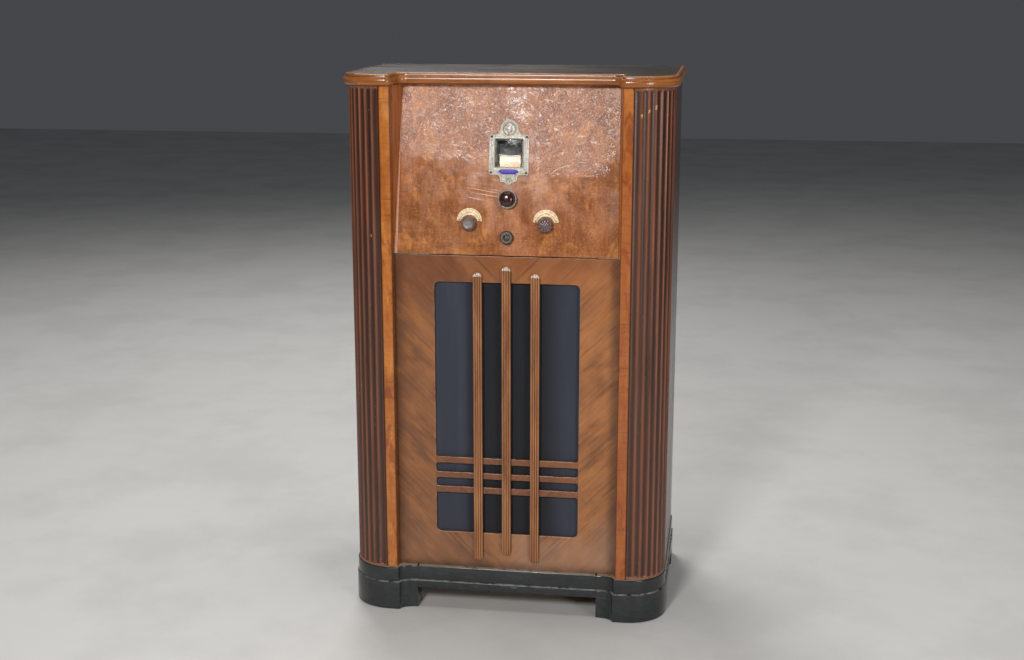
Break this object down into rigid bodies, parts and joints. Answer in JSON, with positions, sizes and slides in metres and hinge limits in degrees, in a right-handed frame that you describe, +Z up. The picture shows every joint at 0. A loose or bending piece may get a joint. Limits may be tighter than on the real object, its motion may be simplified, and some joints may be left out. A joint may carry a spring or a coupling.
{
  "type": "console radio",
  "caption": "Floor-standing wooden console radio with fluted corner columns, raked control panel, dial escutcheon, knobs, barred cloth grille and black base.",
  "frame": {"origin": "on the floor, under the middle of the outline", "axes": "+X to the right seen from the front, +Y from the front to the open back, +Z up"},
  "size_m": [0.616, 0.382, 1.0206],
  "materials": {
    "golden_veneer": "gloss lacquer",
    "walnut_panel": "gloss lacquer",
    "red_brown_wood": "gloss lacquer",
    "nosing_wood": "gloss lacquer",
    "top_veneer": "satin lacquer",
    "black_lacquer": "worn satin lacquer",
    "raw_wood": "unfinished",
    "cloth": "woven",
    "plate_metal": "tarnished plating",
    "bakelite": "polished",
    "enamel": "enamel",
    "steel": "plated",
    "black_steel": "black paint",
    "phenolic": "sheet",
    "aluminium": "spun",
    "glass": "clear",
    "jewel_glass": "amber",
    "paper_cone": "felted",
    "rubber": "moulded"
  },
  "bodies": {
    "cabinet": {"left_strip": "golden_veneer", "right_strip": "golden_veneer", "grille_bar_left": "golden_veneer", "grille_bar_center": "golden_veneer", "grille_bar_right": "golden_veneer", "control_panel": "walnut_panel", "front_panel": "walnut_panel", "left_column": "red_brown_wood", "right_column": "red_brown_wood", "left_side_panel": "red_brown_wood", "right_side_panel": "red_brown_wood", "nosing_left": "nosing_wood", "nosing_center": "nosing_wood", "nosing_right": "nosing_wood", "left_cheek": "nosing_wood", "right_cheek": "nosing_wood", "top_board": "top_veneer", "base_corner_left": "black_lacquer", "base_corner_right": "black_lacquer", "base_side_left": "black_lacquer", "base_side_right": "black_lacquer", "base_front": "black_lacquer", "base_rear_rail": "raw_wood", "bottom_board": "raw_wood", "speaker_board": "raw_wood", "chassis_shelf": "raw_wood", "grille_cloth": "cloth", "dial_cord": "cloth", "speaker_lead": "cloth", "escutcheon": "plate_metal", "left_scale_plate": "plate_metal", "right_scale_plate": "plate_metal", "badge": "enamel", "chassis": "steel", "gang_frame": "steel", "speaker_frame": "black_steel", "field_coil": "black_steel", "output_transformer": "black_steel", "power_transformer": "black_steel", "volume_control": "black_steel", "tone_control": "black_steel", "dial_shade": "black_steel", "band_switch": "phenolic", "if_can": "aluminium", "screened_valve": "aluminium", "dial_glass": "glass", "rectifier_valve": "glass", "output_valve": "glass", "pilot_jewel": "jewel_glass", "mains_grommet": "rubber"},
    "tuning_control": {"tuning_knob": "bakelite", "tuning_shaft": "steel"},
    "volume_turn": {"volume_knob": "bakelite", "volume_shaft": "steel"},
    "tone_turn": {"tone_knob": "bakelite", "tone_shaft": "steel"},
    "band_turn": {"band_knob": "bakelite", "band_shaft": "steel"},
    "dial_rotor": {"dial_drum": "aluminium"},
    "cone": {"speaker_cone": "paper_cone"}
  },
  "joints": [
    {"name": "dial_turn", "type": "hinge", "parent": "cabinet", "child": "dial_rotor", "pos_m": [0, -0.07495, 0.85452], "axis": [1, 0, 0], "range_deg": [-85, 85]},
    {"name": "tuning_turn", "type": "hinge", "parent": "cabinet", "child": "tuning_control", "pos_m": [0, -0.13984, 0.79495], "axis": [0, -0.9859, 0.1675], "range_deg": [-515, 515]},
    {"name": "volume_turn_joint", "type": "hinge", "parent": "cabinet", "child": "volume_turn", "pos_m": [-0.0705, -0.14753, 0.7497], "axis": [0, -0.9859, 0.1675], "range_deg": [-150, 150]},
    {"name": "tone_turn_joint", "type": "hinge", "parent": "cabinet", "child": "tone_turn", "pos_m": [0.0705, -0.14753, 0.7497], "axis": [0, -0.9859, 0.1675], "range_deg": [-150, 150]},
    {"name": "band_turn_joint", "type": "hinge", "parent": "cabinet", "child": "band_turn", "pos_m": [0, -0.15154, 0.72614], "axis": [0, -0.9859, 0.1675], "range_deg": [-30, 30]},
    {"name": "cone_travel", "type": "slide", "parent": "cabinet", "child": "cone", "axis": [0, 1, 0], "range_m": [-0.003, 0.003], "stiffness_N_per_m": 2500}
  ],
  "couplings": [
    {"joint": "tuning_turn", "follows": "dial_turn", "ratio": 6}
  ]
}
